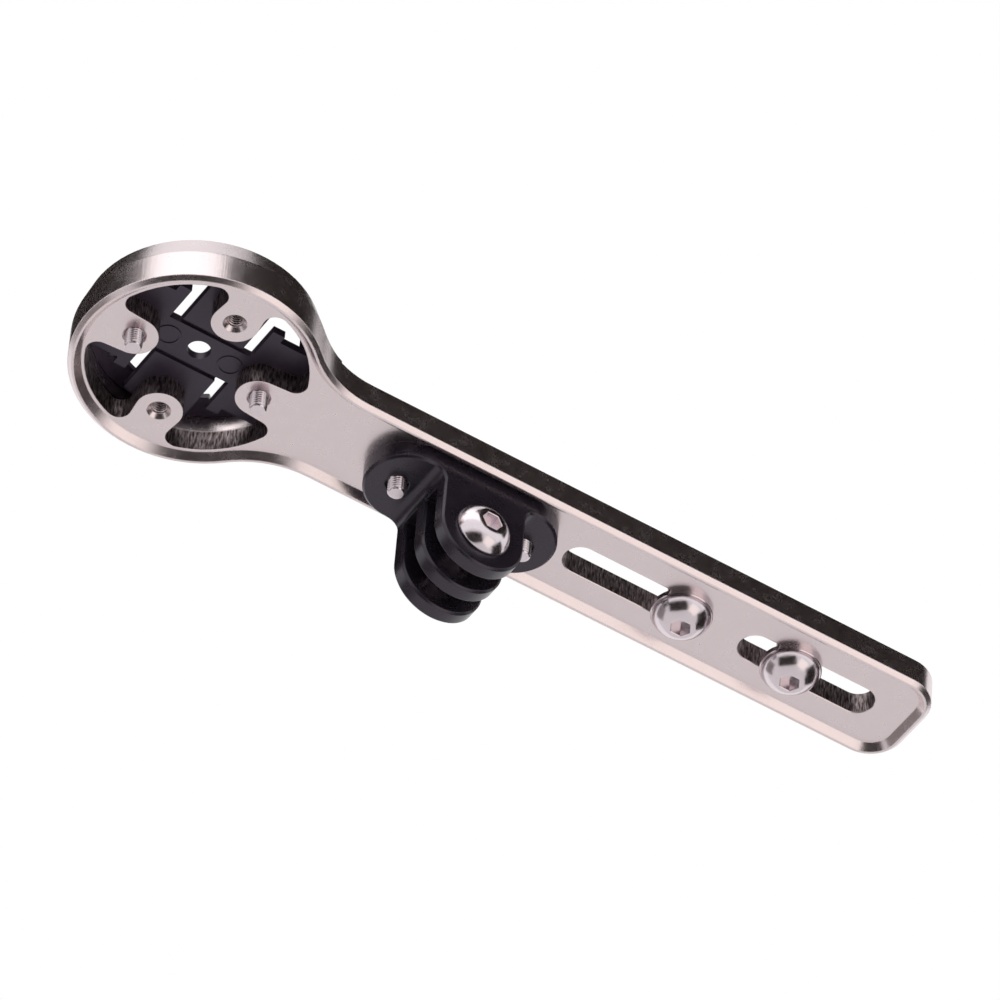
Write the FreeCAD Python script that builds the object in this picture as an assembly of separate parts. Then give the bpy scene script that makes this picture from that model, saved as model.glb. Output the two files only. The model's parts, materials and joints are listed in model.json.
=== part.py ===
import FreeCAD, Part
import math
import os

# Bike computer mount: a flat arm with a ring head for a quarter-turn computer,
# a camera bracket under the arm, and two slots for the handlebar bolts.
# Millimetres. Origin on the ring's axis at the recessed underside floor.
# +X runs along the arm from the ring to the handlebar end, +Z is up in use.

V = FreeCAD.Vector

# Arm plate
ARM_TOP = 4.4
END_CORNER_R = 6.0
NECK_R = 17.0
TOP_BREAK = 0.4

# Rim round the recessed underside: outer chamfer, narrow crest, inner slope
RIM_DROP = 1.2
RIM_CHAMFER = 0.7
RIM_CREST = 0.35
RIM_SLOPE_W = 1.05
RIM_W = RIM_CHAMFER + RIM_CREST + RIM_SLOPE_W
RIM_EDGE_Z = RIM_CHAMFER - RIM_DROP

# Three camera lugs, which set the bracket's width and with it the arm's
LUG_T = 2.8
LUG_GAP = 3.1
LUG_END_R = 7.5
LUG_ROOT_R = 2.0
LUG_EDGE = 0.35
LUG_WEB = 1.8
LUG_DROP = 9.4
BRACKET_W = 3 * LUG_T + 2 * LUG_GAP
FOOT_SIDE_FIT = 0.1
ARM_W = BRACKET_W + 2 * (RIM_W + FOOT_SIDE_FIT)

# Ring head
HEAD_BORE_R = 17.6
HEAD_WALL = 2.6
HEAD_R = HEAD_BORE_R + HEAD_WALL
HEAD_TAPER = 1.4
HEAD_TOP_R = HEAD_R - HEAD_TAPER
HEAD_STEP = 0.3
HEAD_WALL_TOP = ARM_TOP + HEAD_STEP
HEAD_TOP = 9.1
HEAD_BREAK = 0.25
PLATE_TOP = 4.0
FLARE_W = 2.2
FLARE_START_R = HEAD_R + FLARE_W

# Screws and holes
M3_R = 1.45
M3_FIT = 0.05
M3_HOLE_R = M3_R + M3_FIT
M3_PASS_R = M3_HOLE_R + 0.1
M3_TAP_R = M3_R - 0.2
M3_CHAMFER_R = M3_HOLE_R + 0.45
M3_HEAD_R = 2.75
M3_HEAD_RIM = 0.15
M3_HEX = 2.0
M3_SOCKET = 0.9
M3_TIP = 0.3

# Opening in the head plate, with four screw lobes
OPEN_R = HEAD_BORE_R
OPEN_CORNER_R = 2.0
LOBE_INSET = 6.2
LOBE_PCR = OPEN_R - LOBE_INSET
LOBE_R = 3.8
LOBE_ROOT_AXIS = LOBE_R + 0.5
LOBE_ROOT_SIDE = LOBE_R - 0.7

# Quarter-turn insert
INS_FIT = 0.05
INS_R = HEAD_BORE_R - INS_FIT
INS_WALL = 1.95
INS_CAVITY_R = INS_R - INS_WALL
INS_FLOOR_GAP = 0.9
INS_FLOOR_R = INS_CAVITY_R - INS_FLOOR_GAP
INS_FLOOR_T = 1.4
INS_FLOOR_TOP = PLATE_TOP + INS_FLOOR_T
INS_LIP_W = 2.2
INS_MOUTH_R = INS_CAVITY_R - INS_LIP_W
INS_LIP_T = 1.7
INS_LIP_Z = HEAD_TOP - INS_LIP_T
INS_LEAD_W = 1.1
INS_LEAD_H = 0.8
INS_OVERLAP = 0.5
INS_ENTRY_HALF_DEG = 53.0
INS_EAR_HALF = 8.7
INS_TAB_OUT = 1.4
INS_TAB_W = 2.1
INS_SCREW_SINK = 0.1
INS_SCREW_SEAT = INS_FLOOR_TOP - INS_SCREW_SINK
INS_SCREW_OUT = 2.7
INS_HOLE_R = 1.9
TONGUE_SLOT_IN = 5.45
TONGUE_SLOT_W = 2.0
TONGUE_ROOT_Y = 3.4
HINGE_GROOVE_W = 0.8
HINGE_GROOVE_D = 0.6
DETENT_INSET = 2.3
DETENT_H = 0.55
DETENT_R = 1.2
DETENT_L = 5.0
MARK_X = 5.6
MARK_R = 2.0
MARK_LINE = 0.3
MARK_H = 0.15

# Camera bracket's foot, screwed under the arm
FOOT_GAP = 11.8
FOOT_EAR = 7.35
FOOT_T = 3.4
FOOT_EDGE = 0.4
FOOT_X0 = HEAD_R + FOOT_GAP
FOOT_X1 = FOOT_X0 + 2 * (LUG_END_R + LUG_ROOT_R + FOOT_EAR)
FOOT_MID_X = (FOOT_X0 + FOOT_X1) / 2
FOOT_SCREW_INSET = 5.2
FOOT_SCREW_OUT = 2.2
PIVOT_SHIFT = 0.45
PIVOT_X = FOOT_MID_X + PIVOT_SHIFT
PIVOT_Z = -FOOT_T - LUG_DROP
LUG_GAP_TOP_Z = -FOOT_T - LUG_WEB

# Handlebar bolts, pivot bolt and washers
M5_R = 2.5
M5_HEAD_R = 4.75
M5_HEAD_H = 2.75
M5_HEAD_FLAT_R = 2.2
M5_DOME_RISE = 0.35
M5_RIM_H = 0.35
M5_HEX = 3.0
M5_SOCKET = 1.6
M5_TIP = 0.5
M5_RELIEF = 0.05
PIVOT_FIT = 0.06
PIVOT_OUT = 1.4
STUD_OUT = 6.6
WASHER_R = 5.0
WASHER_BORE_R = M5_R + 0.15
WASHER_T = 1.0
WASHER_EDGE = 0.12

# Handlebar slots, the bolts in them and the arm's end
SLOT_SIDE = 0.4
SLOT_W = 2 * (M5_R + SLOT_SIDE)
SLOT_L = 25.0
SLOT_GAP = 2.7
SLOT_BRIDGE = 8.1
SLOT_BREAK = 0.15
END_MARGIN = 7.9
SLOT_FRONT_X = FOOT_X1 + SLOT_GAP
SLOT_REAR_X = SLOT_FRONT_X + SLOT_L + SLOT_BRIDGE
ARM_END = SLOT_REAR_X + SLOT_L + END_MARGIN
BAR_BOLT_INSET = 3.1
BAR_BOLT_PITCH = 20.7
BAR_BOLT_FRONT_X = SLOT_FRONT_X + SLOT_L - BAR_BOLT_INSET
BAR_BOLT_REAR_X = BAR_BOLT_FRONT_X + BAR_BOLT_PITCH

# How far cutters run past what they cut
SAFE = 1.0


def face(edges):
    """A plane face from edges in order."""
    return Part.Face(Part.Wire(edges))


def prism(plane_face, z0, z1):
    """A face drawn at z = 0, as a solid between two heights."""
    solid = plane_face.extrude(V(0, 0, z1 - z0))
    solid.translate(V(0, 0, z0))
    return solid


def cylinder(x, y, z0, z1, r):
    """An upright cylinder between two heights."""
    return Part.makeCylinder(r, z1 - z0, V(x, y, z0))


def cone(x, y, z0, z1, r0, r1):
    """An upright cone with radius r0 at z0 and r1 at z1."""
    return Part.makeCone(r0, r1, z1 - z0, V(x, y, z0))


def box(x0, x1, y0, y1, z0, z1):
    """A box from its six limits."""
    return Part.makeBox(x1 - x0, y1 - y0, z1 - z0, V(x0, y0, z0))


def revolve_z(points):
    """A closed (r, z) outline turned about the Z axis."""
    wire = Part.makePolygon([V(r, 0, z) for r, z in points + points[:1]])
    return Part.Face(wire).revolve(V(0, 0, 0), V(0, 0, 1), 360)


def line(a, b):
    return Part.LineSegment(a, b).toShape()


def arc(a, m, b):
    return Part.Arc(a, m, b).toShape()


def on_circle(cx, cy, r, deg):
    """The point at an angle on a circle."""
    return V(cx + r * math.cos(math.radians(deg)), cy + r * math.sin(math.radians(deg)), 0)


def plan_edges(inset, z=0.0):
    """The arm's outline in plan, moved inwards: ring, two neck fillets, sides and end."""
    half = ARM_W / 2
    neck_y = half + NECK_R
    neck_x = math.sqrt((HEAD_R + NECK_R) ** 2 - neck_y ** 2)
    touch = math.degrees(math.atan2(neck_y, neck_x))
    head = HEAD_R - inset
    neck = NECK_R + inset
    side = half - inset
    end = ARM_END - inset
    corner = END_CORNER_R - inset
    mid_neck = (touch + 180 + 270) / 2
    ring_top = on_circle(0, 0, head, touch)
    ring_low = on_circle(0, 0, head, -touch)
    neck_top = on_circle(neck_x, neck_y, neck, mid_neck)
    neck_low = on_circle(neck_x, -neck_y, neck, -mid_neck)
    cx = end - corner
    cy = side - corner
    edges = [
        arc(ring_top, V(-head, 0, 0), ring_low),
        arc(ring_low, neck_low, V(neck_x, -side, 0)),
        line(V(neck_x, -side, 0), V(cx, -side, 0)),
        arc(V(cx, -side, 0), on_circle(cx, -cy, corner, -45), V(end, -cy, 0)),
        line(V(end, -cy, 0), V(end, cy, 0)),
        arc(V(end, cy, 0), on_circle(cx, cy, corner, 45), V(cx, side, 0)),
        line(V(cx, side, 0), V(neck_x, side, 0)),
        arc(V(neck_x, side, 0), neck_top, ring_top),
    ]
    for edge in edges:
        edge.translate(V(0, 0, z))
    return edges


def plan_band(inset0, z0, inset1, z1):
    """A solid between the outline at one inset and height and the outline at another."""
    low = Part.Wire(plan_edges(inset0, z0))
    high = Part.Wire(plan_edges(inset1, z1))
    return Part.makeLoft([low, high], True, True)


def slot_face(x0, x1, w):
    """A slot with round ends, along X."""
    r = w / 2
    return face([
        line(V(x0 + r, -r, 0), V(x1 - r, -r, 0)),
        arc(V(x1 - r, -r, 0), V(x1, 0, 0), V(x1 - r, r, 0)),
        line(V(x1 - r, r, 0), V(x0 + r, r, 0)),
        arc(V(x0 + r, r, 0), V(x0, 0, 0), V(x0 + r, -r, 0)),
    ])


def lobe(root_half):
    """One screw lobe pointing along +X from its round tip to the ring, in plan."""
    spread = math.asin((root_half - LOBE_R) / (OPEN_R - LOBE_PCR))
    deg = 90 + math.degrees(spread)
    tip_top = on_circle(LOBE_PCR, 0, LOBE_R, deg)
    tip_low = on_circle(LOBE_PCR, 0, LOBE_R, -deg)
    reach = OPEN_R + SAFE
    root = root_half + SAFE * math.tan(spread)
    return face([
        arc(tip_top, V(LOBE_PCR - LOBE_R, 0, 0), tip_low),
        line(tip_low, V(reach, -root, 0)),
        line(V(reach, -root, 0), V(reach, root, 0)),
        line(V(reach, root, 0), tip_top),
    ])


def turned(shape, deg):
    """A copy turned about the Z axis."""
    copy = shape.copy()
    copy.rotate(V(0, 0, 0), V(0, 0, 1), deg)
    return copy


def is_upright(edge, r):
    """True for a vertical edge at a given distance from the Z axis."""
    a = edge.Vertexes[0].Point
    b = edge.Vertexes[-1].Point
    upright = math.hypot(a.x - b.x, a.y - b.y) < 1e-6 and abs(a.z - b.z) > 0.1
    return upright and abs(math.hypot(a.x, a.y) - r) < 1e-3


def head_opening():
    """The clover-shaped opening through the head plate."""
    z0 = -RIM_DROP - SAFE
    z1 = PLATE_TOP + SAFE
    opening = cylinder(0, 0, z0, z1, OPEN_R)
    for deg in (0, 90, 180, 270):
        root = LOBE_ROOT_SIDE if deg in (90, 270) else LOBE_ROOT_AXIS
        opening = opening.cut(turned(prism(lobe(root), z0 - SAFE, z1 + SAFE), deg))
    corners = [edge for edge in opening.Edges if is_upright(edge, OPEN_R)]
    return opening.makeFillet(OPEN_CORNER_R, corners)


def lobe_centres():
    """The four lobe holes: front, rear, near side and far side."""
    return [(-LOBE_PCR, 0), (LOBE_PCR, 0), (0, -LOBE_PCR), (0, LOBE_PCR)]


def bracket_screw_xs():
    """The two foot screws' places along the arm."""
    return [FOOT_X0 + FOOT_SCREW_INSET, FOOT_X1 - FOOT_SCREW_INSET]


def countersink(x, top):
    """The cutter for a flat screw head whose top lies at a height."""
    sink_r = M3_HEAD_R + M3_FIT
    rim = top - M3_HEAD_RIM
    depth = sink_r - M3_HOLE_R
    cutter = cone(x, 0, rim - depth, rim, M3_HOLE_R, sink_r)
    return cutter.fuse(cylinder(x, 0, rim, top + SAFE, sink_r))


def neck_flare():
    """The small concave rise of the arm's top face into the head's wall."""
    rise = HEAD_WALL_TOP - ARM_TOP
    inner = HEAD_R - SAFE
    low = ARM_TOP - SAFE
    middle = V(HEAD_R + 0.36 * FLARE_W, 0, ARM_TOP + 0.25 * rise)
    flare = face([
        line(V(inner, 0, low), V(FLARE_START_R, 0, low)),
        line(V(FLARE_START_R, 0, low), V(FLARE_START_R, 0, ARM_TOP)),
        arc(V(FLARE_START_R, 0, ARM_TOP), middle, V(HEAD_R, 0, HEAD_WALL_TOP)),
        line(V(HEAD_R, 0, HEAD_WALL_TOP), V(inner, 0, HEAD_WALL_TOP)),
        line(V(inner, 0, HEAD_WALL_TOP), V(inner, 0, low)),
    ])
    ring = flare.revolve(V(0, 0, 0), V(0, 0, 1), 360)
    return ring.common(prism(face(plan_edges(0)), 0, HEAD_TOP))


def make_arm():
    """The machined arm: plate, ring head, recessed underside, slots and holes."""
    body = prism(face(plan_edges(0)), RIM_EDGE_Z, ARM_TOP - TOP_BREAK)
    body = body.fuse(plan_band(0, ARM_TOP - TOP_BREAK, TOP_BREAK, ARM_TOP))
    body = body.fuse(plan_band(RIM_CHAMFER, -RIM_DROP, 0, RIM_EDGE_Z))
    head = revolve_z([
        (0, 0),
        (HEAD_R, 0),
        (HEAD_R, HEAD_WALL_TOP),
        (HEAD_TOP_R, HEAD_TOP - HEAD_BREAK),
        (HEAD_TOP_R - HEAD_BREAK, HEAD_TOP),
        (0, HEAD_TOP),
    ])
    body = body.fuse(head).fuse(neck_flare())

    mouth = RIM_CHAMFER + RIM_CREST
    body = body.cut(plan_band(mouth, -RIM_DROP, RIM_W, 0))
    body = body.cut(prism(face(plan_edges(mouth)), -RIM_DROP - SAFE, -RIM_DROP))
    body = body.cut(cylinder(0, 0, PLATE_TOP, HEAD_TOP + SAFE, HEAD_BORE_R))
    body = body.cut(head_opening())

    for x, y in lobe_centres():
        r = M3_HOLE_R if y == 0 else M3_TAP_R
        body = body.cut(cylinder(x, y, -SAFE, PLATE_TOP + SAFE, r))
        depth = M3_CHAMFER_R - r
        body = body.cut(cone(x, y, -SAFE, depth, M3_CHAMFER_R + SAFE, r))
    for x in (-LOBE_PCR, LOBE_PCR):
        body = body.cut(countersink(x, INS_SCREW_SEAT))

    for x in bracket_screw_xs():
        body = body.cut(cylinder(x, 0, -SAFE, ARM_TOP + SAFE, M3_PASS_R))
        body = body.cut(countersink(x, ARM_TOP))

    for x in (SLOT_FRONT_X, SLOT_REAR_X):
        low = slot_face(x - SLOT_BREAK, x + SLOT_L + SLOT_BREAK, SLOT_W + 2 * SLOT_BREAK)
        high = slot_face(x, x + SLOT_L, SLOT_W)
        body = body.cut(prism(high, -RIM_DROP - SAFE, ARM_TOP + SAFE))
        for z0, z1 in ((0, SLOT_BREAK), (ARM_TOP, ARM_TOP - SLOT_BREAK)):
            wide = low.OuterWire.copy()
            wide.translate(V(0, 0, z0))
            tight = high.OuterWire.copy()
            tight.translate(V(0, 0, z1))
            body = body.cut(Part.makeLoft([wide, tight], True, True))
    return body.removeSplitter()


def hexagon(across_flats, z0, z1, x=0.0, y=0.0):
    """An upright hexagonal prism."""
    r = across_flats / math.sqrt(3)
    points = [on_circle(x, y, r, 60 * i + 30) for i in range(7)]
    return prism(Part.Face(Part.makePolygon(points)), z0, z1)


def countersunk_screw(length):
    """A flat-topped socket screw, head's top at z = 0, shank pointing down."""
    neck = M3_HEAD_RIM + M3_HEAD_R - M3_R
    body = revolve_z([
        (0, 0),
        (M3_HEAD_R, 0),
        (M3_HEAD_R, -M3_HEAD_RIM),
        (M3_R, -neck),
        (M3_R, M3_TIP - length),
        (M3_R - M3_TIP, -length),
        (0, -length),
    ])
    return body.cut(hexagon(M3_HEX, -M3_SOCKET, SAFE))


def button_bolt(length):
    """A button-head socket bolt, seat at z = 0, head above and shank below."""
    edge = 0.15
    mid_r = (M5_HEAD_R + M5_HEAD_FLAT_R) / 2 + M5_DOME_RISE
    mid_z = M5_RIM_H + 0.62 * (M5_HEAD_H - M5_RIM_H)
    profile = face([
        line(V(0, 0, -length), V(M5_R - M5_TIP, 0, -length)),
        line(V(M5_R - M5_TIP, 0, -length), V(M5_R, 0, M5_TIP - length)),
        line(V(M5_R, 0, M5_TIP - length), V(M5_R, 0, 0)),
        line(V(M5_R, 0, 0), V(M5_HEAD_R - edge, 0, 0)),
        line(V(M5_HEAD_R - edge, 0, 0), V(M5_HEAD_R, 0, edge)),
        line(V(M5_HEAD_R, 0, edge), V(M5_HEAD_R, 0, M5_RIM_H)),
        arc(V(M5_HEAD_R, 0, M5_RIM_H), V(mid_r, 0, mid_z), V(M5_HEAD_FLAT_R, 0, M5_HEAD_H)),
        line(V(M5_HEAD_FLAT_R, 0, M5_HEAD_H), V(0, 0, M5_HEAD_H)),
        line(V(0, 0, M5_HEAD_H), V(0, 0, -length)),
    ])
    body = profile.revolve(V(0, 0, 0), V(0, 0, 1), 360)
    socket = hexagon(M5_HEX, M5_HEAD_H - M5_SOCKET, M5_HEAD_H + SAFE)
    lead = M5_HEX / 2 + 0.05
    entry = cone(0, 0, M5_HEAD_H - 0.3, M5_HEAD_H + 0.05, lead, lead + 0.35)
    return body.cut(socket).cut(entry)


def plain_shank(bolt, grip):
    """A bolt with its shank relieved from under the head to where the thread starts."""
    inner = M5_R - M5_RELIEF
    relief = revolve_z([
        (inner, 0),
        (M5_R + SAFE, 0),
        (M5_R + SAFE, -grip),
        (M5_R, -grip),
        (inner, M5_RELIEF - grip),
    ])
    return bolt.cut(relief)


def sector(r0, r1, deg0, deg1, z0, z1):
    """A ring sector between two angles."""
    mid = (deg0 + deg1) / 2
    plane = face([
        arc(on_circle(0, 0, r1, deg0), on_circle(0, 0, r1, mid), on_circle(0, 0, r1, deg1)),
        line(on_circle(0, 0, r1, deg1), on_circle(0, 0, r0, deg1)),
        arc(on_circle(0, 0, r0, deg1), on_circle(0, 0, r0, mid), on_circle(0, 0, r0, deg0)),
        line(on_circle(0, 0, r0, deg0), on_circle(0, 0, r1, deg0)),
    ])
    return prism(plane, z0, z1)


def signed_box(x0, x1, y0, y1, z0, z1, sx, sy):
    """A box given in the first quarter, mirrored to the signs."""
    xa, xb = sorted((sx * x0, sx * x1))
    ya, yb = sorted((sy * y0, sy * y1))
    return box(xa, xb, ya, yb, z0, z1)


QUARTERS = [(sx, sy) for sx in (-1, 1) for sy in (-1, 1)]


def tube(r_in, r_out, z0, z1):
    """An upright tube on the Z axis."""
    return cylinder(0, 0, z0, z1, r_out).cut(cylinder(0, 0, z0 - SAFE, z1 + SAFE, r_in))


def insert_shell():
    """Ring, two screw ears and floor, with the two bayonet lips."""
    across = (-INS_R, INS_R, -INS_EAR_HALF, INS_EAR_HALF)
    ring = tube(INS_CAVITY_R, INS_R, INS_LIP_Z, HEAD_TOP)
    ears = tube(INS_CAVITY_R, INS_R, PLATE_TOP, INS_LIP_Z)
    ears = ears.common(box(*across, PLATE_TOP, INS_LIP_Z))
    web = cylinder(0, 0, PLATE_TOP, INS_FLOOR_TOP, INS_CAVITY_R + INS_OVERLAP)
    web = web.common(box(*across, PLATE_TOP, INS_FLOOR_TOP))
    floor = cylinder(0, 0, PLATE_TOP, INS_FLOOR_TOP, INS_FLOOR_R)
    slot_out = TONGUE_SLOT_IN + TONGUE_SLOT_W
    for sx, sy in QUARTERS:
        limits = (TONGUE_SLOT_IN, INS_R, INS_EAR_HALF, INS_R)
        floor = floor.cut(signed_box(*limits, PLATE_TOP - SAFE, INS_FLOOR_TOP + SAFE, sx, sy))
        tab = (TONGUE_SLOT_IN, slot_out + INS_TAB_W, TONGUE_ROOT_Y, INS_EAR_HALF + INS_TAB_OUT)
        web = web.fuse(signed_box(*tab, PLATE_TOP, INS_FLOOR_TOP, sx, sy))
    body = ring.fuse(ears).fuse(floor).fuse(web)
    half = 90 - INS_ENTRY_HALF_DEG
    for mid in (90, 270):
        outer = INS_CAVITY_R + INS_OVERLAP
        body = body.fuse(sector(INS_MOUTH_R, outer, mid - half, mid + half, INS_LIP_Z, HEAD_TOP))
    lead_top_r = INS_MOUTH_R + INS_LEAD_W * (INS_LEAD_H + SAFE) / INS_LEAD_H
    return body.cut(cone(0, 0, HEAD_TOP - INS_LEAD_H, HEAD_TOP + SAFE, INS_MOUTH_R, lead_top_r))


def make_insert():
    """The plastic quarter-turn socket: lipped ring, screw ears and a sprung floor."""
    z0 = PLATE_TOP
    z1 = INS_FLOOR_TOP
    body = insert_shell()
    for sx, sy in QUARTERS:
        limits = (TONGUE_SLOT_IN, TONGUE_SLOT_IN + TONGUE_SLOT_W, TONGUE_ROOT_Y, INS_R)
        body = body.cut(signed_box(*limits, z0 - SAFE, z1 + 0.01, sx, sy))
    for side in (-1, 1):
        limits = (-TONGUE_SLOT_IN, TONGUE_SLOT_IN, TONGUE_ROOT_Y, TONGUE_ROOT_Y + HINGE_GROOVE_W)
        body = body.cut(signed_box(*limits, z0 - SAFE, z0 + HINGE_GROOVE_D, 1, side))
        start = V(-DETENT_L / 2, side * (INS_FLOOR_R - DETENT_INSET), z1 + DETENT_H - DETENT_R)
        ridge = Part.makeCylinder(DETENT_R, DETENT_L, start, V(1, 0, 0))
        above = box(-DETENT_L, DETENT_L, -INS_R, INS_R, z1 - INS_FLOOR_T / 2, HEAD_TOP)
        body = body.fuse(ridge.common(above))
        mark = cylinder(side * MARK_X, 0, z0 - MARK_H, z0 + MARK_H, MARK_R)
        mark = mark.cut(cylinder(side * MARK_X, 0, z0 - SAFE, z0 + SAFE, MARK_R - MARK_LINE))
        body = body.fuse(mark)
        body = body.cut(cylinder(side * LOBE_PCR, 0, z0 - SAFE, z1 + SAFE, M3_HOLE_R))
        body = body.cut(countersink(side * LOBE_PCR, INS_SCREW_SEAT))
    body = body.cut(cylinder(0, 0, z0 - SAFE, z1 + SAFE, INS_HOLE_R))
    return body.removeSplitter()


def placed(shape, x, y, z):
    """A copy moved into place."""
    copy = shape.copy()
    copy.translate(V(x, y, z))
    return copy


def flipped(shape):
    """A copy turned upside down about the X axis."""
    copy = shape.copy()
    copy.rotate(V(0, 0, 0), V(1, 0, 0), 180)
    return copy


def make_washer():
    """A plain washer with its top face at z = 0."""
    return revolve_z([
        (WASHER_BORE_R, 0),
        (WASHER_R, 0),
        (WASHER_R, WASHER_EDGE - WASHER_T),
        (WASHER_R - WASHER_EDGE, -WASHER_T),
        (WASHER_BORE_R, -WASHER_T),
    ])


def make_foot():
    """The bracket's round-ended foot, its lower rim chamfered."""
    outline = slot_face(FOOT_X0, FOOT_X1, BRACKET_W)
    foot = prism(outline, FOOT_EDGE - FOOT_T, 0)
    low = slot_face(FOOT_X0 + FOOT_EDGE, FOOT_X1 - FOOT_EDGE, BRACKET_W - 2 * FOOT_EDGE).OuterWire
    low.translate(V(0, 0, -FOOT_T))
    high = outline.OuterWire.copy()
    high.translate(V(0, 0, FOOT_EDGE - FOOT_T))
    return foot.fuse(Part.makeLoft([low, high], True, True))


def lug_profile(y):
    """The lugs' side outline: root fillets, straight flanks and a round end."""
    x0 = PIVOT_X - LUG_END_R
    x1 = PIVOT_X + LUG_END_R
    r = LUG_ROOT_R
    k = r * (1 - math.sqrt(0.5))
    top = -FOOT_T
    lap = top + FOOT_EDGE
    return face([
        line(V(x0 - r, y, lap), V(x0 - r, y, top)),
        arc(V(x0 - r, y, top), V(x0 - k, y, top - k), V(x0, y, top - r)),
        line(V(x0, y, top - r), V(x0, y, PIVOT_Z)),
        arc(V(x0, y, PIVOT_Z), V(PIVOT_X, y, PIVOT_Z - LUG_END_R), V(x1, y, PIVOT_Z)),
        line(V(x1, y, PIVOT_Z), V(x1, y, top - r)),
        arc(V(x1, y, top - r), V(x1 + k, y, top - k), V(x1 + r, y, top)),
        line(V(x1 + r, y, top), V(x1 + r, y, lap)),
        line(V(x1 + r, y, lap), V(x0 - r, y, lap)),
    ])


def is_lug_rim(edge):
    """True for the rims of the lugs' round ends and the straight rims that run into them."""
    tiny = 0.01
    bounds = edge.BoundBox
    if bounds.YLength > tiny:
        return False
    if bounds.ZMax < PIVOT_Z + tiny:
        return abs(bounds.XLength - 2 * LUG_END_R) < tiny
    upright = bounds.XLength < tiny and bounds.ZLength > 1
    at_flank = abs(abs(bounds.XMin - PIVOT_X) - LUG_END_R) < tiny
    below_root = bounds.ZMin > PIVOT_Z - tiny and bounds.ZMax < -FOOT_T - LUG_ROOT_R + tiny
    return upright and at_flank and below_root


def make_bracket():
    """The camera bracket: round-ended foot and three lugs on one pivot axis."""
    half = BRACKET_W / 2
    body = make_foot().fuse(lug_profile(-half).extrude(V(0, BRACKET_W, 0)))
    reach = LUG_END_R + LUG_ROOT_R + SAFE
    for side in (-1, 1):
        mid = side * (LUG_T + LUG_GAP) / 2
        limits = (PIVOT_X - reach, PIVOT_X + reach, mid - LUG_GAP / 2, mid + LUG_GAP / 2)
        body = body.cut(box(*limits, PIVOT_Z - reach, LUG_GAP_TOP_Z))
    body = body.removeSplitter()
    body = body.makeChamfer(LUG_EDGE, [edge for edge in body.Edges if is_lug_rim(edge)])
    start = V(PIVOT_X, -half - SAFE, PIVOT_Z)
    body = body.cut(Part.makeCylinder(M5_R + PIVOT_FIT, BRACKET_W + 2 * SAFE, start, V(0, 1, 0)))
    lead = M3_CHAMFER_R - M3_HOLE_R
    for x in bracket_screw_xs():
        body = body.cut(cylinder(x, 0, -FOOT_T - SAFE, SAFE, M3_HOLE_R))
        body = body.cut(cone(x, 0, -FOOT_T - SAFE, lead - FOOT_T, M3_CHAMFER_R + SAFE, M3_HOLE_R))
    return body.removeSplitter()


def export(shape, node):
    """One named solid to one file."""
    count = len(shape.Solids)
    if count != 1 or not shape.isValid():
        raise RuntimeError("%s: %d solids, valid %s" % (node, count, shape.isValid()))
    solid = shape.Solids[0]
    solid.exportStep("parts/%s.step" % node)
    size = solid.BoundBox
    print("%-24s %7.2f %7.2f %7.2f" % (node, size.XLength, size.YLength, size.ZLength))


def main():
    os.makedirs("parts", exist_ok=True)
    export(make_arm(), "mount_arm")
    export(make_insert(), "quarter_turn_insert")
    export(make_bracket(), "camera_bracket")

    screw = countersunk_screw(INS_SCREW_SEAT + INS_SCREW_OUT)
    for x, end in ((-LOBE_PCR, "front"), (LOBE_PCR, "rear")):
        export(placed(screw, x, 0, INS_SCREW_SEAT), "insert_screw_" + end)

    screw = countersunk_screw(ARM_TOP + FOOT_T + FOOT_SCREW_OUT)
    for x, end in zip(bracket_screw_xs(), ("front", "rear")):
        export(placed(screw, x, 0, ARM_TOP), "bracket_screw_" + end)

    pivot = button_bolt(BRACKET_W + PIVOT_OUT)
    pivot.rotate(V(0, 0, 0), V(1, 0, 0), 90)
    export(placed(pivot, PIVOT_X, -BRACKET_W / 2, PIVOT_Z), "pivot_bolt")

    grip = WASHER_T + ARM_TOP
    bolt = flipped(plain_shank(button_bolt(grip + STUD_OUT), grip))
    washer = make_washer()
    for x, end in ((BAR_BOLT_FRONT_X, "front"), (BAR_BOLT_REAR_X, "rear")):
        export(placed(bolt, x, 0, -WASHER_T), "handlebar_bolt_" + end)
        export(placed(washer, x, 0, 0), "handlebar_washer_" + end)


main()
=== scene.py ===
# %% [markdown]
# A bike computer mount: a flat arm with a ring head at one end and two slots at the other.
# The solids come in already made, at their real size, and this file gives them their
# looks: satin metal with tool marks, moulded black nylon, black anodised metal and
# polished screws with real threads. The scene is in metres, in the frame of the solids:
# +X runs along the arm from the ring to the slots, +Z is up in use. Small sizes are typed
# in millimetres and turned to metres by MM. The photograph looks up at the arm from below.

# %% Load the solids
import json
import math
import bmesh
import bpy
import numpy as np
from mathutils import Matrix, Vector


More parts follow.
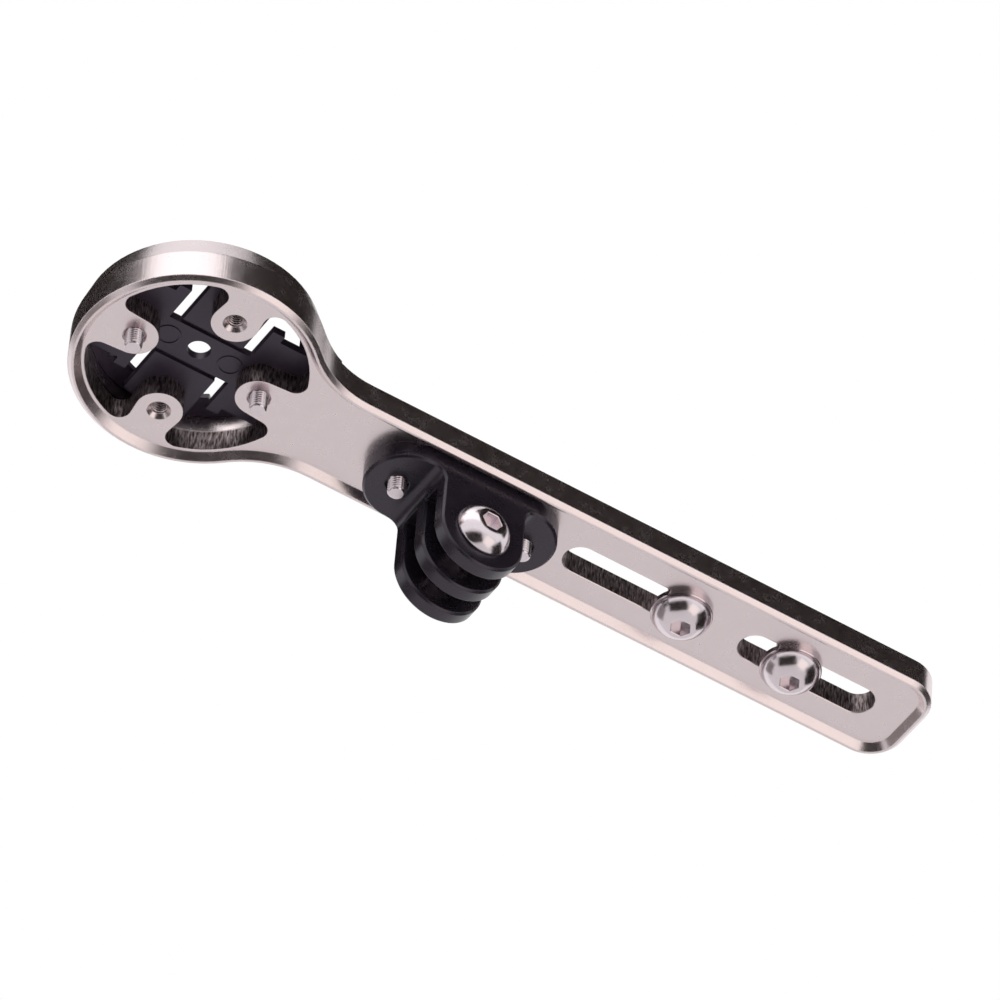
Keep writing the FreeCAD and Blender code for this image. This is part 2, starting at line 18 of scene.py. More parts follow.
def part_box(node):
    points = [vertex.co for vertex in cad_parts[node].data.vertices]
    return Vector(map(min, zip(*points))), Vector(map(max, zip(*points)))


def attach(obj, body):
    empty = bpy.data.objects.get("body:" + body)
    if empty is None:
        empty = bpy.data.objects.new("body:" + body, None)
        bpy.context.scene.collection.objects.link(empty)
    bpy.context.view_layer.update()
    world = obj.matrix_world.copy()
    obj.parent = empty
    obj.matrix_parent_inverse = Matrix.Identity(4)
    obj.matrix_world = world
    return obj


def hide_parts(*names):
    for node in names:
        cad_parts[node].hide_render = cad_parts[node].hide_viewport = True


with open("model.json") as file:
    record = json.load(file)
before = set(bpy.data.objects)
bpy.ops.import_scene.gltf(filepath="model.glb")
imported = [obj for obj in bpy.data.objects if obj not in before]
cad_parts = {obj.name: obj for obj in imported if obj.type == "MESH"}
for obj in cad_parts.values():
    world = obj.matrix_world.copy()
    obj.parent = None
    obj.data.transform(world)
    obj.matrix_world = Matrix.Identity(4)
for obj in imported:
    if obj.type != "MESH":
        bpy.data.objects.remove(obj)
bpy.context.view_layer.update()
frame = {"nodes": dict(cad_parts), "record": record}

MM = 0.001
scene = bpy.context.scene
print("nodes:", sorted(frame["nodes"]))

# %% [markdown]
# The camera stands below the arm and to one side, as in the photograph, and far off with
# a long lens, so that the arm hardly tapers. Its direction is given as an azimuth and an
# elevation, its tilt as a roll, and its lens as the pixels that a millimetre at the arm's
# middle covers. A camera could also be aimed by a constraint, but a matrix built from
# three directions can be read and checked. The photograph's frame isn't centred on the
# arm, so the camera steps aside by a few millimetres and needs no lens shift.

# %% Camera
AZIMUTH = math.radians(-28.84)
ELEVATION = math.radians(-46.06)
ROLL = math.radians(5.14)
DISTANCE = 1.834       # m, from the target
TARGET = Vector((0.055, 0, 0))      # near the arm's middle
STEP_RIGHT = 0.93 * MM
STEP_UP = 2.71 * MM
PIXELS_PER_MM = 6.3577
IMAGE = 1000           # pixels across the picture
SENSOR = 36.0          # mm across the sensor
UP = Vector((0, 0, 1))

flat = math.cos(ELEVATION)
backward = Vector((math.sin(AZIMUTH) * flat, -math.cos(AZIMUTH) * flat, math.sin(ELEVATION)))
level = UP.cross(backward).normalized()
upright = backward.cross(level)
right = math.cos(ROLL) * level + math.sin(ROLL) * upright
up = math.cos(ROLL) * upright - math.sin(ROLL) * level

lens = bpy.data.cameras.new("camera")
lens.sensor_width = SENSOR
lens.lens = PIXELS_PER_MM * DISTANCE / MM * SENSOR / IMAGE
lens.clip_start = 0.01
lens.clip_end = 60
camera = bpy.data.objects.new("camera", lens)
place = TARGET + backward * DISTANCE + right * STEP_RIGHT + up * STEP_UP
turn = Matrix((right, up, backward)).transposed()
camera.matrix_world = Matrix.Translation(place) @ turn.to_4x4()
scene.collection.objects.link(camera)
scene.camera = camera
scene.view_settings.view_transform = "Standard"
print("lens %.1f mm, camera at" % lens.lens, [round(c, 3) for c in place])

# %% [markdown]
# A few small helpers serve every material. Colours are written as sRGB hex values, as they
# are read off a screen, and the renderer needs linear light, so one function turns one
# into the other. Another adds a node with its settings and links in a single call, which
# keeps a material readable as a list of what feeds what. Materials could be built by hand
# in the node editor, but a list of nodes in a script can be read, compared and changed.

# %% Helpers for colours and nodes
SPREAD = {"From Min": 0.3, "From Max": 0.7}    # noise seldom leaves this range


def linear(code):
    """Each channel c from 0 to 1 becomes ((c + 0.055) / 1.055) to the power 2.4, and a
    dark one c / 12.92."""
    channels = [int(code[i:i + 2], 16) / 255 for i in (1, 3, 5)]
    bright = [((c + 0.055) / 1.055) ** 2.4 if c > 0.04045 else c / 12.92 for c in channels]
    return (*bright, 1.0)


def set_inputs(tree, node, inputs):
    """Links each input that is given a socket, and sets each that is given a value."""
    for key, value in inputs.items():
        if isinstance(value, bpy.types.NodeSocket):
            tree.links.new(value, node.inputs[key])
        else:
            node.inputs[key].default_value = value


def add(tree, kind, settings=None, inputs=None):
    """Adds a node with its settings, and links or sets its inputs."""
    made = tree.nodes.new(kind)
    for name, value in (settings or {}).items():
        setattr(made, name, value)
    set_inputs(tree, made, inputs or {})
    return made


def new_material(name):
    """An empty material: its tree, its surface shader joined to the output, and the
    texture coordinates that its patterns read."""
    made = bpy.data.materials.new(name)
    made.use_nodes = True
    tree = made.node_tree
    tree.nodes.clear()
    shader = add(tree, "ShaderNodeBsdfPrincipled")
    add(tree, "ShaderNodeOutputMaterial", None, {"Surface": shader.outputs[0]})
    return made, tree, shader, add(tree, "ShaderNodeTexCoord")


print("white is", [round(c, 3) for c in linear("#FFFFFF")[:3]])

# %% [markdown]
# The arm is milled from aluminium and finished to a warm satin silver, and it hasn't the
# same surface everywhere. The broad floor was blasted. The outer walls had a finishing
# pass. The walls of the slots and windows keep what the side of the milling cutter left.
# Separate slots could carry the three finishes, but the arm is one piece with one slot,
# so masks tell them apart: a wall is where the surface faces sideways, and a raw wall is
# one that stands inside the ring's window or within the slots' width.

# %% Machined aluminium: where the raw walls are
NOT_WALL = 0.45        # a surface whose normal's Z is more than this is no wall
ALL_WALL = 0.25        # and one whose normal's Z is less than this is all wall
WINDOW_R = 18.2        # mm, inside this radius the walls are window walls
WINDOW_TOP = 4.3       # mm, above this height the ring's bore is turned, not milled
WINDOW_FADE = 0.5      # mm, over which the one changes into the other
SLOT_HALF = 3.3        # mm, inside this half-width the walls are slot walls
SLOTS_MIDDLE = 97.5    # mm, middle of the slotted length of the arm
SLOTS_REACH = 31.0     # mm, half of the slotted length

aluminium, tree, shader, where = new_material("aluminium_milled_satin")
spot = add(tree, "ShaderNodeSeparateXYZ", None, {0: where.outputs["Object"]})
facing = add(tree, "ShaderNodeSeparateXYZ", None, {0: where.outputs["Normal"]})
steep = add(tree, "ShaderNodeMath", {"operation": "ABSOLUTE"}, {0: facing.outputs["Z"]})
is_wall = add(tree, "ShaderNodeMapRange", None,
              {"Value": steep.outputs[0], "From Min": NOT_WALL, "From Max": ALL_WALL})

plan = add(tree, "ShaderNodeVectorMath", {"operation": "MULTIPLY"},
           {0: where.outputs["Object"], 1: (1, 1, 0)})
radius = add(tree, "ShaderNodeVectorMath", {"operation": "LENGTH"}, {0: plan.outputs[0]})
in_ring = add(tree, "ShaderNodeMath", {"operation": "LESS_THAN"},
              {0: radius.outputs["Value"], 1: WINDOW_R * MM})
low = add(tree, "ShaderNodeMapRange", None,
          {"Value": spot.outputs["Z"], "From Min": WINDOW_TOP * MM,
           "From Max": (WINDOW_TOP - WINDOW_FADE) * MM})
in_window = add(tree, "ShaderNodeMath", {"operation": "MULTIPLY"},
                {0: in_ring.outputs[0], 1: low.outputs[0]})

across = add(tree, "ShaderNodeMath", {"operation": "ABSOLUTE"}, {0: spot.outputs["Y"]})
near_line = add(tree, "ShaderNodeMath", {"operation": "LESS_THAN"},
                {0: across.outputs[0], 1: SLOT_HALF * MM})
slotted = add(tree, "ShaderNodeMath", {"operation": "COMPARE"},
              {0: spot.outputs["X"], 1: SLOTS_MIDDLE * MM, 2: SLOTS_REACH * MM})
in_slot = add(tree, "ShaderNodeMath", {"operation": "MULTIPLY"},
              {0: near_line.outputs[0], 1: slotted.outputs[0]})
inside = add(tree, "ShaderNodeMath", {"operation": "MAXIMUM"},
             {0: in_window.outputs[0], 1: in_slot.outputs[0]})
# The raw mask makes these walls rougher, and it also lays the painted shade on them.
raw = add(tree, "ShaderNodeMath", {"operation": "MULTIPLY"},
          {0: inside.outputs[0], 1: is_wall.outputs[0]})
print("masks take", len(tree.nodes), "nodes")

# %% [markdown]
# A milling cutter leaves upright marks, short and coarse where it cut deep and long and
# faint after a light pass. Each set is noise squeezed in X and Y and drawn out along Z.
# A picture could carry such marks, but noise in object coordinates has a real size and
# holds from every side. Tumbling has also broken every edge. The solids' edges are sharp,
# so a Bevel node rounds the light on them without a single new face.

# %% Machined aluminium: tool marks, grain and broken edges
CUTTER_MARKS = (0.32, 0.32, 1.6)    # mm, pitch across and length along Z, in the slots
FINISH_MARKS = (0.4, 0.4, 6.7)      # mm, the same on the outer walls
MARK_DEPTH = 0.16      # mm, at full strength
FINISH_SHARE = 0.07    # strength of the marks that are left outside
BLAST_GRAIN = 0.35     # mm, drawn coarser than the real grit so that it shows
GRAIN_DEPTH = 0.02     # mm
EDGE_BREAK = 0.24      # mm, the rounding that tumbling gives to every edge
EDGE_SAMPLES = 6

streaks = {}
for name, size in (("cutter", CUTTER_MARKS), ("finish", FINISH_MARKS)):
    drawn = add(tree, "ShaderNodeMapping", None,
                {"Vector": where.outputs["Object"], "Scale": [1 / (side * MM) for side in size]})
    streaks[name] = add(tree, "ShaderNodeTexNoise", None,
                        {"Vector": drawn.outputs[0], "Scale": 1.0, "Detail": 2.0, "Roughness": 0.55})
marks = add(tree, "ShaderNodeMix", {"data_type": "FLOAT"},
            {"Factor": inside.outputs[0], 2: streaks["finish"].outputs[0],
             3: streaks["cutter"].outputs[0]})
share = add(tree, "ShaderNodeMapRange", None, {"Value": inside.outputs[0], "To Min": FINISH_SHARE})
strength = add(tree, "ShaderNodeMath", {"operation": "MULTIPLY"},
               {0: is_wall.outputs[0], 1: share.outputs[0]})
edge = add(tree, "ShaderNodeBevel", {"samples": EDGE_SAMPLES}, {"Radius": EDGE_BREAK * MM})
marked = add(tree, "ShaderNodeBump", None,
             {"Height": marks.outputs[0], "Strength": strength.outputs[0],
              "Distance": MARK_DEPTH * MM, "Normal": edge.outputs[0]})
grain = add(tree, "ShaderNodeTexNoise", None,
            {"Vector": where.outputs["Object"], "Scale": 1 / (BLAST_GRAIN * MM), "Detail": 2.0})
bump = add(tree, "ShaderNodeBump", None,
           {"Height": grain.outputs[0], "Strength": 0.08, "Distance": GRAIN_DEPTH * MM,
            "Normal": marked.outputs[0]})
print("with marks and grain", len(tree.nodes), "nodes")

# %% [markdown]
# Blasted aluminium is slightly cloudy, because the grit never falls quite evenly: patches
# of a few millimetres differ a little in tint and in gloss. The raw walls in the slots and
# in the ring's window are painted much darker, as painted shade for the light that these
# deep walls don't get. The same noise that lifts the ridges also darkens the grooves between
# them as painted shade. A flat colour would do for a small part, but this arm runs across
# the whole picture, and a flat colour on it looks like plastic.

# %% Machined aluminium: tint, painted shade and gloss
FLOOR_CLOUD = 2.5      # mm, the patches that blasting leaves
SATIN = ("#DFD1D3", "#E7DBDD")
SATIN_ROUGHNESS = (0.22, 0.29)
# Painted shade: the raw walls' two colours, groove and ridge, are both darker than the satin and
# stand in for the light that doesn't reach into the slots and the window.
RAW_SHADE = ("#554A4A", "#BAACAE")        # groove and ridge
RAW_ROUGHER = 0.2      # added to the roughness of a raw wall
GROOVE, RIDGE = 0.38, 0.68          # the noise's value in a groove and on a ridge

cloud = add(tree, "ShaderNodeTexNoise", None,
            {"Vector": where.outputs["Object"], "Scale": 1 / (FLOOR_CLOUD * MM),
             "Detail": 5.0, "Roughness": 0.6})
satin = add(tree, "ShaderNodeMix", {"data_type": "RGBA"},
            {"Factor": cloud.outputs[0], 6: linear(SATIN[0]), 7: linear(SATIN[1])})
# Painted shade on the raw walls: the cutter's noise mixes the dark groove colour with the less dark
# ridge colour, and the raw mask lays this over the satin.
ridge = add(tree, "ShaderNodeMapRange", None,
            {"Value": streaks["cutter"].outputs[0], "From Min": GROOVE, "From Max": RIDGE})
milled = add(tree, "ShaderNodeMix", {"data_type": "RGBA"},
             {"Factor": ridge.outputs[0], 6: linear(RAW_SHADE[0]), 7: linear(RAW_SHADE[1])})
tint = add(tree, "ShaderNodeMix", {"data_type": "RGBA"},
           {"Factor": raw.outputs[0], 6: satin.outputs[2], 7: milled.outputs[2]})
gloss = add(tree, "ShaderNodeMapRange", None,
            {**SPREAD, "Value": cloud.outputs[0],
             "To Min": SATIN_ROUGHNESS[0], "To Max": SATIN_ROUGHNESS[1]})
rough = add(tree, "ShaderNodeMath", {"operation": "MULTIPLY_ADD"},
            {0: raw.outputs[0], 1: RAW_ROUGHER, 2: gloss.outputs[0]})
set_inputs(tree, shader, {
    "Base Color": tint.outputs[2],
    "Metallic": 1.0,
    "Roughness": rough.outputs[0],
    "Normal": bump.outputs[0],
})
print(aluminium.name, len(tree.nodes), "nodes")

# %% [markdown]
# The screws are stainless steel, cold formed and then tumbled bright. They mirror the
# room almost sharply, with a soft haze that comes and goes and tumbling marks too fine to
# count. Steel is a little darker and greyer than the aluminium. A mirror without any
# roughness would be simpler, but it looks like chrome plate.

# %% Bright stainless steel
HAZE = 0.6             # mm, size of the faint haze patches
SCRATCH = 0.08         # mm, tumbling marks, drawn coarser than real ones
SCRATCH_DEPTH = 0.01   # mm
STEEL = ("#D8CDD2", "#E6DCE1")
STEEL_ROUGHNESS = (0.16, 0.24)

steel, tree, shader, where = new_material("stainless_steel_tumbled")
haze = add(tree, "ShaderNodeTexNoise", None,
           {"Vector": where.outputs["Object"], "Scale": 1 / (HAZE * MM), "Detail": 4.0})
fine = add(tree, "ShaderNodeTexNoise", None,
           {"Vector": where.outputs["Object"], "Scale": 1 / (SCRATCH * MM), "Detail": 1.0})
gloss = add(tree, "ShaderNodeMapRange", None,
            {**SPREAD, "Value": haze.outputs[0],
             "To Min": STEEL_ROUGHNESS[0], "To Max": STEEL_ROUGHNESS[1]})
tint = add(tree, "ShaderNodeMix", {"data_type": "RGBA"},
           {"Factor": haze.outputs[0], 6: linear(STEEL[0]), 7: linear(STEEL[1])})
bump = add(tree, "ShaderNodeBump", None,
           {"Height": fine.outputs[0], "Strength": 0.12, "Distance": SCRATCH_DEPTH * MM})
set_inputs(tree, shader, {
    "Base Color": tint.outputs[2],
    "Metallic": 1.0,
    "Roughness": gloss.outputs[0],
    "Normal": bump.outputs[0],
})
print(steel.name, len(tree.nodes), "nodes")

# %% [markdown]
# The socket is injection moulded from black nylon. The mould was spark eroded, so its
# faces have a fine even pitting that spreads the light to a soft dark grey with a hint
# of violet. The pits could be cut into the mesh, but at a quarter of a millimetre a bump
# from noise looks the same and costs no faces.

# %% Black nylon
MOULD_PIT = 0.22       # mm, spark-eroded pits
PIT_DEPTH = 0.03       # mm
FLOW_CLOUD = 3.0       # mm, slow changes of gloss where the plastic flowed
NYLON = ("#2C2431", "#362D3B")
NYLON_ROUGHNESS = (0.34, 0.44)
NYLON_SHEEN = "#F3E9F8"             # the hint of violet

nylon, tree, shader, where = new_material("nylon_black_moulded")
pits = add(tree, "ShaderNodeTexNoise", None,
           {"Vector": where.outputs["Object"], "Scale": 1 / (MOULD_PIT * MM), "Detail": 3.0})
flow = add(tree, "ShaderNodeTexNoise", None,
           {"Vector": where.outputs["Object"], "Scale": 1 / (FLOW_CLOUD * MM), "Detail": 2.0})
gloss = add(tree, "ShaderNodeMapRange", None,
            {**SPREAD, "Value": flow.outputs[0],
             "To Min": NYLON_ROUGHNESS[0], "To Max": NYLON_ROUGHNESS[1]})
tint = add(tree, "ShaderNodeMix", {"data_type": "RGBA"},
           {"Factor": flow.outputs[0], 6: linear(NYLON[0]), 7: linear(NYLON[1])})
bump = add(tree, "ShaderNodeBump", None,
           {"Height": pits.outputs[0], "Strength": 0.25, "Distance": PIT_DEPTH * MM})
set_inputs(tree, shader, {
    "Base Color": tint.outputs[2],
    "Metallic": 0.0,
    "Roughness": gloss.outputs[0],
    "IOR": 1.53,
    "Specular Tint": linear(NYLON_SHEEN),
    "Normal": bump.outputs[0],
})
print(nylon.name, len(tree.nodes), "nodes")

# %% [markdown]
# The camera bracket is aluminium, bead blasted and then anodised black. The dyed oxide is
# a clear hard layer over black, so it behaves as a dark glassy coat and not as bare
# metal: black where it faces the dark side of the room, violet grey where it faces light.
# A dark metal could be used too, but its reflections would be dark at every angle, and a
# real oxide layer grows bright at a grazing one. Its edges are broken like the arm's.

# %% Black anodised aluminium
BEAD = 0.15            # mm, marks of the blasting beads
BEAD_DEPTH = 0.02      # mm
DYE_CLOUD = 3.0        # mm, slow changes of the dye
OXIDE = ("#1E1A22", "#262129")
OXIDE_ROUGHNESS = (0.24, 0.32)
OXIDE_SHEEN = "#F1E6F7"

anodised, tree, shader, where = new_material("aluminium_black_anodised")
beads = add(tree, "ShaderNodeTexNoise", None,
            {"Vector": where.outputs["Object"], "Scale": 1 / (BEAD * MM), "Detail": 2.0})
dye = add(tree, "ShaderNodeTexNoise", None,
          {"Vector": where.outputs["Object"], "Scale": 1 / (DYE_CLOUD * MM), "Detail": 3.0})
gloss = add(tree, "ShaderNodeMapRange", None,
            {**SPREAD, "Value": dye.outputs[0],
             "To Min": OXIDE_ROUGHNESS[0], "To Max": OXIDE_ROUGHNESS[1]})
tint = add(tree, "ShaderNodeMix", {"data_type": "RGBA"},
           {"Factor": dye.outputs[0], 6: linear(OXIDE[0]), 7: linear(OXIDE[1])})
edge = add(tree, "ShaderNodeBevel", {"samples": EDGE_SAMPLES}, {"Radius": EDGE_BREAK * MM})
bump = add(tree, "ShaderNodeBump", None,
           {"Height": beads.outputs[0], "Strength": 0.15, "Distance": BEAD_DEPTH * MM,
            "Normal": edge.outputs[0]})
set_inputs(tree, shader, {
    "Base Color": tint.outputs[2],
    "Metallic": 0.0,
    "Roughness": gloss.outputs[0],
    "IOR": 1.6,
    "Specular Tint": linear(OXIDE_SHEEN),
    "Normal": bump.outputs[0],
})
print(anodised.name, len(tree.nodes), "nodes")

# %% [markdown]
# Each solid gets its finish through its one material slot. The finish could be appended
# as a second slot, but then the faces would have to be told about it. The mesh itself
# stays as it is.

# %% Finishes of the solids
FINISHES = {
    "machined_aluminium": aluminium,
    "stainless_steel": steel,
    "black_nylon": nylon,
    "black_anodised_aluminium": anodised,
}
for part in frame["record"]["subparts"]:
    solid = frame["nodes"][part["node"]]
    solid.material_slots[0].material = FINISHES[part["material_slot"]]
print("dressed", len(frame["nodes"]), "solids")

# %% [markdown]
# The threads need new pieces, and each of them is a grid of points: rows along an outline
# and columns round an axis. Quads join each point to its neighbours. A grid could also be
# drawn and spun by hand, but a function that takes points serves every round shape. Where
# a row shrinks to one point, its points are merged, which closes the pole.

# %% Helper: a surface from a grid of points
SHARP = math.radians(35)    # a steeper angle between two faces is a sharp edge
SAME_POINT = 1e-7           # m, points nearer than this are one


def weld(mesh):
    """Merges points that coincide, turns faces outwards and marks steep edges sharp."""
    work = bmesh.new()
    work.from_mesh(mesh)
    bmesh.ops.remove_doubles(work, verts=work.verts, dist=SAME_POINT)
    bmesh.ops.recalc_face_normals(work, faces=work.faces)
    work.to_mesh(mesh)
    work.free()
    mesh.shade_smooth()
    mesh.set_sharp_from_angle(angle=SHARP)


def grid_mesh(name, points, material):
    """Rows of points become a mesh: each cell is a quad, the columns close round, and the
    first and last row, when shrunk to a point, become fans of triangles."""
    rows, columns = points.shape[:2]
    number = np.arange(rows * columns).reshape(rows, columns)
    after = np.roll(number, -1, axis=1)
    quads = np.stack([number[:-1], after[:-1], after[1:], number[1:]], axis=-1).reshape(-1, 4)
    mesh = bpy.data.meshes.new(name)
    mesh.from_pydata(points.reshape(-1, 3).tolist(), [], quads.tolist())
    made = bpy.data.objects.new(name, mesh)
    scene.collection.objects.link(made)
    weld(mesh)
    mesh.materials.append(material)
    return made


print("points nearer than", SAME_POINT, "m are merged")

# %% [markdown]
# A real thread is cut or rolled as a groove that climbs by one pitch in each turn, with a
# flat crest and a flat root. On a grid it is a wave: at a given height the wave's phase is
# the height over the pitch, and it falls by one over a full turn. Two clipped ends make a
# trapezoid of the wave. The same wave serves the screws and the tapped holes.

# %% Helper: columns round an axis, and the thread's wave
COLUMNS = 72           # a multiple of 6, so that a hexagon's corners fall on columns
ROWS_A_PITCH = 10      # rows of points in one pitch of thread
TURN = 2 * math.pi
COLUMN_ANGLES = np.linspace(0, TURN, COLUMNS, endpoint=False)[None, :]


def round_points(radius, z, x=0, y=0):
    """Points at (x + radius cos a, y + radius sin a, z) for every column's angle a."""
    return np.stack(np.broadcast_arrays(x + radius * np.cos(COLUMN_ANGLES),
                                        y + radius * np.sin(COLUMN_ANGLES), z), axis=-1)


def thread_wave(z, pitch):
    """A triangle wave between 0 and 1: the distance from 0 of twice the phase less one,
    where the phase is the fraction left of z over the pitch less a over a full turn."""
    return np.abs(2 * ((z / pitch - COLUMN_ANGLES / TURN) % 1) - 1)


print(COLUMNS, "columns round each axis,", ROWS_A_PITCH, "rows a pitch")

# %% [markdown]
# A screw is one closed surface of two parameters: the angle round its axis, and the way
# along its outline from the middle of the socket's floor, up the socket, over the head
# and down the shank to the middle of the tip. Two things depart from a plain turned
# shape. In the socket the circle becomes a hexagon, whose radius is its half-width
# divided by the cosine of the angle from the nearest flat's middle. On the shank the
# radius dips with the thread. A screw modifier and a boolean could do it too, but they
# leave ragged faces at the ends.

# %% Helper: a screw as one surface
CREST = 0.16           # the part of the thread's wave that is cut off as its flat crest
FLANK = 0.62           # and the part that is its flank; the root takes the rest


def outline(corners, step):
    """Points along straight runs between corners (r, z, hexagon share, thread share),
    no further apart than the step where a run is threaded."""
    rows = [corners[:1]]
    for start, end in zip(corners[:-1], corners[1:]):
        run = math.hypot(end[0] - start[0], end[1] - start[1])
        threaded = start[3] > 0 or end[3] > 0
        count = max(1, math.ceil(run / step)) if threaded else 1
        share = np.arange(1, count + 1)[:, None] / count
        rows.append(np.array(start) * (1 - share) + np.array(end) * share)
    return np.vstack(rows)


def screw_points(corners, pitch, depth):
    """Radius = outline radius, times 1 / cos of the angle from the nearest flat where it
    is a hexagon, less the depth times the dip where it is threaded. The dip is the wave
    less the crest, over the flank, held between 0 and 1."""
    rows = outline(corners, pitch / ROWS_A_PITCH)
    r, z, hexagon, thread = (rows[:, i:i + 1] for i in range(4))
    from_flat = COLUMN_ANGLES % (TURN / 6) - TURN / 12
    radius = r * (1 - hexagon + hexagon / np.cos(from_flat))
    dip = np.clip((thread_wave(z, pitch) - CREST) / FLANK, 0, 1)
    return round_points(radius - depth * thread * dip, z)


def make_screw(name, node, body, corners, pitch, depth, turn, place):
    """A screw in the place of its solid: built upright in millimetres, turned, moved."""
    points = screw_points(corners, pitch, depth) * MM
    made = grid_mesh(name, points @ np.array(turn).T + np.array(place), steel)
    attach(made, body)
    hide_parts(node)
    print(name, len(made.data.polygons), "faces")


print("a thread is", CREST, "crest and", FLANK, "flank")

# %% [markdown]
# The M3 screws are countersunk, with a flat top and a 2 mm socket. Two hold the socket to
# the ring's lobes and two hold the bracket. From below only their threaded ends show. The
# heads could be left off, but the part is also seen from above. Each takes its place and
# its length from the solid that it replaces.

# %% The four countersunk screws
M3_R = 1.45            # mm, as are all sizes of the screws
M3_PITCH = 0.5
M3_DEPTH = 0.27
M3_HEAD_R = 2.75
M3_RIM = 0.15
M3_FLAT = 1.0          # half of 2 mm across flats
M3_SOCKET = 0.9        # depth of the socket
M3_EDGE = 0.06         # rounding of the head's two edges
M3_RING = 0.4          # from the hexagon out to where the rows are round
M3_TIP = 0.3


def countersunk(length):
    """Corners of a flat-headed screw: top at zero, shank downwards. The head narrows to
    the shank at 45 degrees, so its cone is as high as the difference of the two radii."""
    neck = M3_RIM + M3_HEAD_R - M3_R
    return [
        (0, -M3_SOCKET, 1, 0),
        (M3_FLAT, -M3_SOCKET, 1, 0),
        (M3_FLAT, -M3_EDGE, 1, 0),
        (M3_FLAT + M3_EDGE, 0, 1, 0),
        (M3_FLAT + M3_RING, 0, 0, 0),
        (M3_HEAD_R - M3_EDGE, 0, 0, 0),
        (M3_HEAD_R, -M3_EDGE, 0, 0),
        (M3_HEAD_R, -M3_RIM, 0, 0),
        (M3_R, -neck, 0, 0),
        (M3_R, -neck - M3_PITCH, 0, 1),
        (M3_R, M3_TIP - length, 0, 1),
        (M3_R - M3_TIP, -length, 0, 0),
        (0, -length, 0, 0),
    ]


UPRIGHT = Matrix.Identity(3)
for end in ("front", "rear"):
    for kind in ("insert_screw_", "bracket_screw_"):
        low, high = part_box(kind + end)
        centre = (low + high) / 2
        make_screw(kind + end + "_threaded", kind + end, "mount",
                   countersunk((high.z - low.z) / MM), M3_PITCH, M3_DEPTH,
                   UPRIGHT, (centre.x, centre.y, high.z))

# %% [markdown]
# The M5 bolts have a low domed head with a 3 mm socket. On a real bolt the die leaves a
# flat round the socket and rounds the rest. The dome could be part of a sphere, but a
# parabola laid on the straight line from the flat to the rim needs only its rise.

# %% The outline of a button-head bolt
M5_R = 2.5             # mm, as are all sizes of the bolts
M5_PITCH = 0.8
M5_DEPTH = 0.44
M5_HEAD_R = 4.75
M5_HEAD_H = 2.75
M5_RIM = 0.35          # height of the head's upright rim
M5_HEAD_FLAT_R = 2.2   # of the flat round the socket
M5_DOME_RISE = 0.35
M5_FLAT = 1.5          # half of 3 mm across flats
M5_SOCKET = 1.6        # depth of the socket
M5_SOCKET_EDGE = 0.08
M5_SEAT_EDGE = 0.15
M5_FILLET = 0.1        # under the head
M5_TIP = 0.5
M5_RELIEF = 0.05       # by which the plain shank is thinner than the thread


def dome(top, rim, rise, count=10):
    """Corners from the flat top's edge to the rim: the straight line between the two,
    plus 4 rise share (1 - share) at right angles to it, outwards."""
    (r0, z0), (r1, z1) = top, rim
    share = np.linspace(0, 1, count + 1)[1:]
    bulge = 4 * rise * share * (1 - share) / math.hypot(r1 - r0, z1 - z0)
    r = r0 + (r1 - r0) * share + bulge * (z0 - z1)
    z = z0 + (z1 - z0) * share + bulge * (r1 - r0)
    return [(a, b, 0, 0) for a, b in zip(r, z)]


def button_head(length, grip):
    """Corners of a domed bolt: seat at zero, head above it, shank below it, plain as far
    as the grip and threaded from there to the tip."""
    floor = M5_HEAD_H - M5_SOCKET
    shank_r = M5_R - M5_RELIEF
    return [
        (0, floor, 1, 0),
        (M5_FLAT, floor, 1, 0),
        (M5_FLAT, M5_HEAD_H - M5_SOCKET_EDGE, 1, 0),
        (M5_FLAT + M5_SOCKET_EDGE, M5_HEAD_H, 1, 0),
        (M5_HEAD_FLAT_R, M5_HEAD_H, 0, 0),
        *dome((M5_HEAD_FLAT_R, M5_HEAD_H), (M5_HEAD_R, M5_RIM), M5_DOME_RISE),
        (M5_HEAD_R, M5_SEAT_EDGE, 0, 0),
        (M5_HEAD_R - M5_SEAT_EDGE, 0, 0, 0),
        (M5_R + M5_FILLET, 0, 0, 0),
        (shank_r, -M5_SEAT_EDGE, 0, 0),
        (shank_r, -grip, 0, 0),
        (M5_R, -grip - M5_RELIEF, 0, 0),
        (M5_R, -grip - M5_PITCH, 0, 1),
        (M5_R, M5_TIP - length, 0, 1),
        (M5_R - M5_TIP, -length, 0, 0),
        (0, -length, 0, 0),
    ]


print("head", 2 * M5_HEAD_R, "mm across and", M5_HEAD_H, "mm high")

# %% [markdown]
# Two of these bolts hang in the slots with their threads standing out above the arm,
# ready to be screwed in, and one is the bracket's pivot. Head down or head sideways, each
# is the same surface turned another way. They could be placed by typed numbers, but their
# seats and lengths are read from the solids, so that they can't miss their washers.

# %% The three button-head bolts
PIVOT_PLAIN = 0.6      # the pivot bolt is threaded almost to its head
HEAD_DOWN = Matrix.Rotation(math.pi, 3, "X")
HEAD_NEAR = Matrix.Rotation(math.pi / 2, 3, "X")

mounts = {mount["name"]: mount for mount in frame["record"]["mounts"]}
arm_top = mounts["arm_seat"]["pos_m"][2]
for end in ("front", "rear"):
    low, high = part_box("handlebar_bolt_" + end)
    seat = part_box("handlebar_washer_" + end)[0].z
    centre = (low + high) / 2
    make_screw("handlebar_bolt_%s_threaded" % end, "handlebar_bolt_" + end, end + "_bolt",
               button_head((high.z - seat) / MM, (arm_top - seat) / MM),
               M5_PITCH, M5_DEPTH, HEAD_DOWN, (centre.x, centre.y, seat))

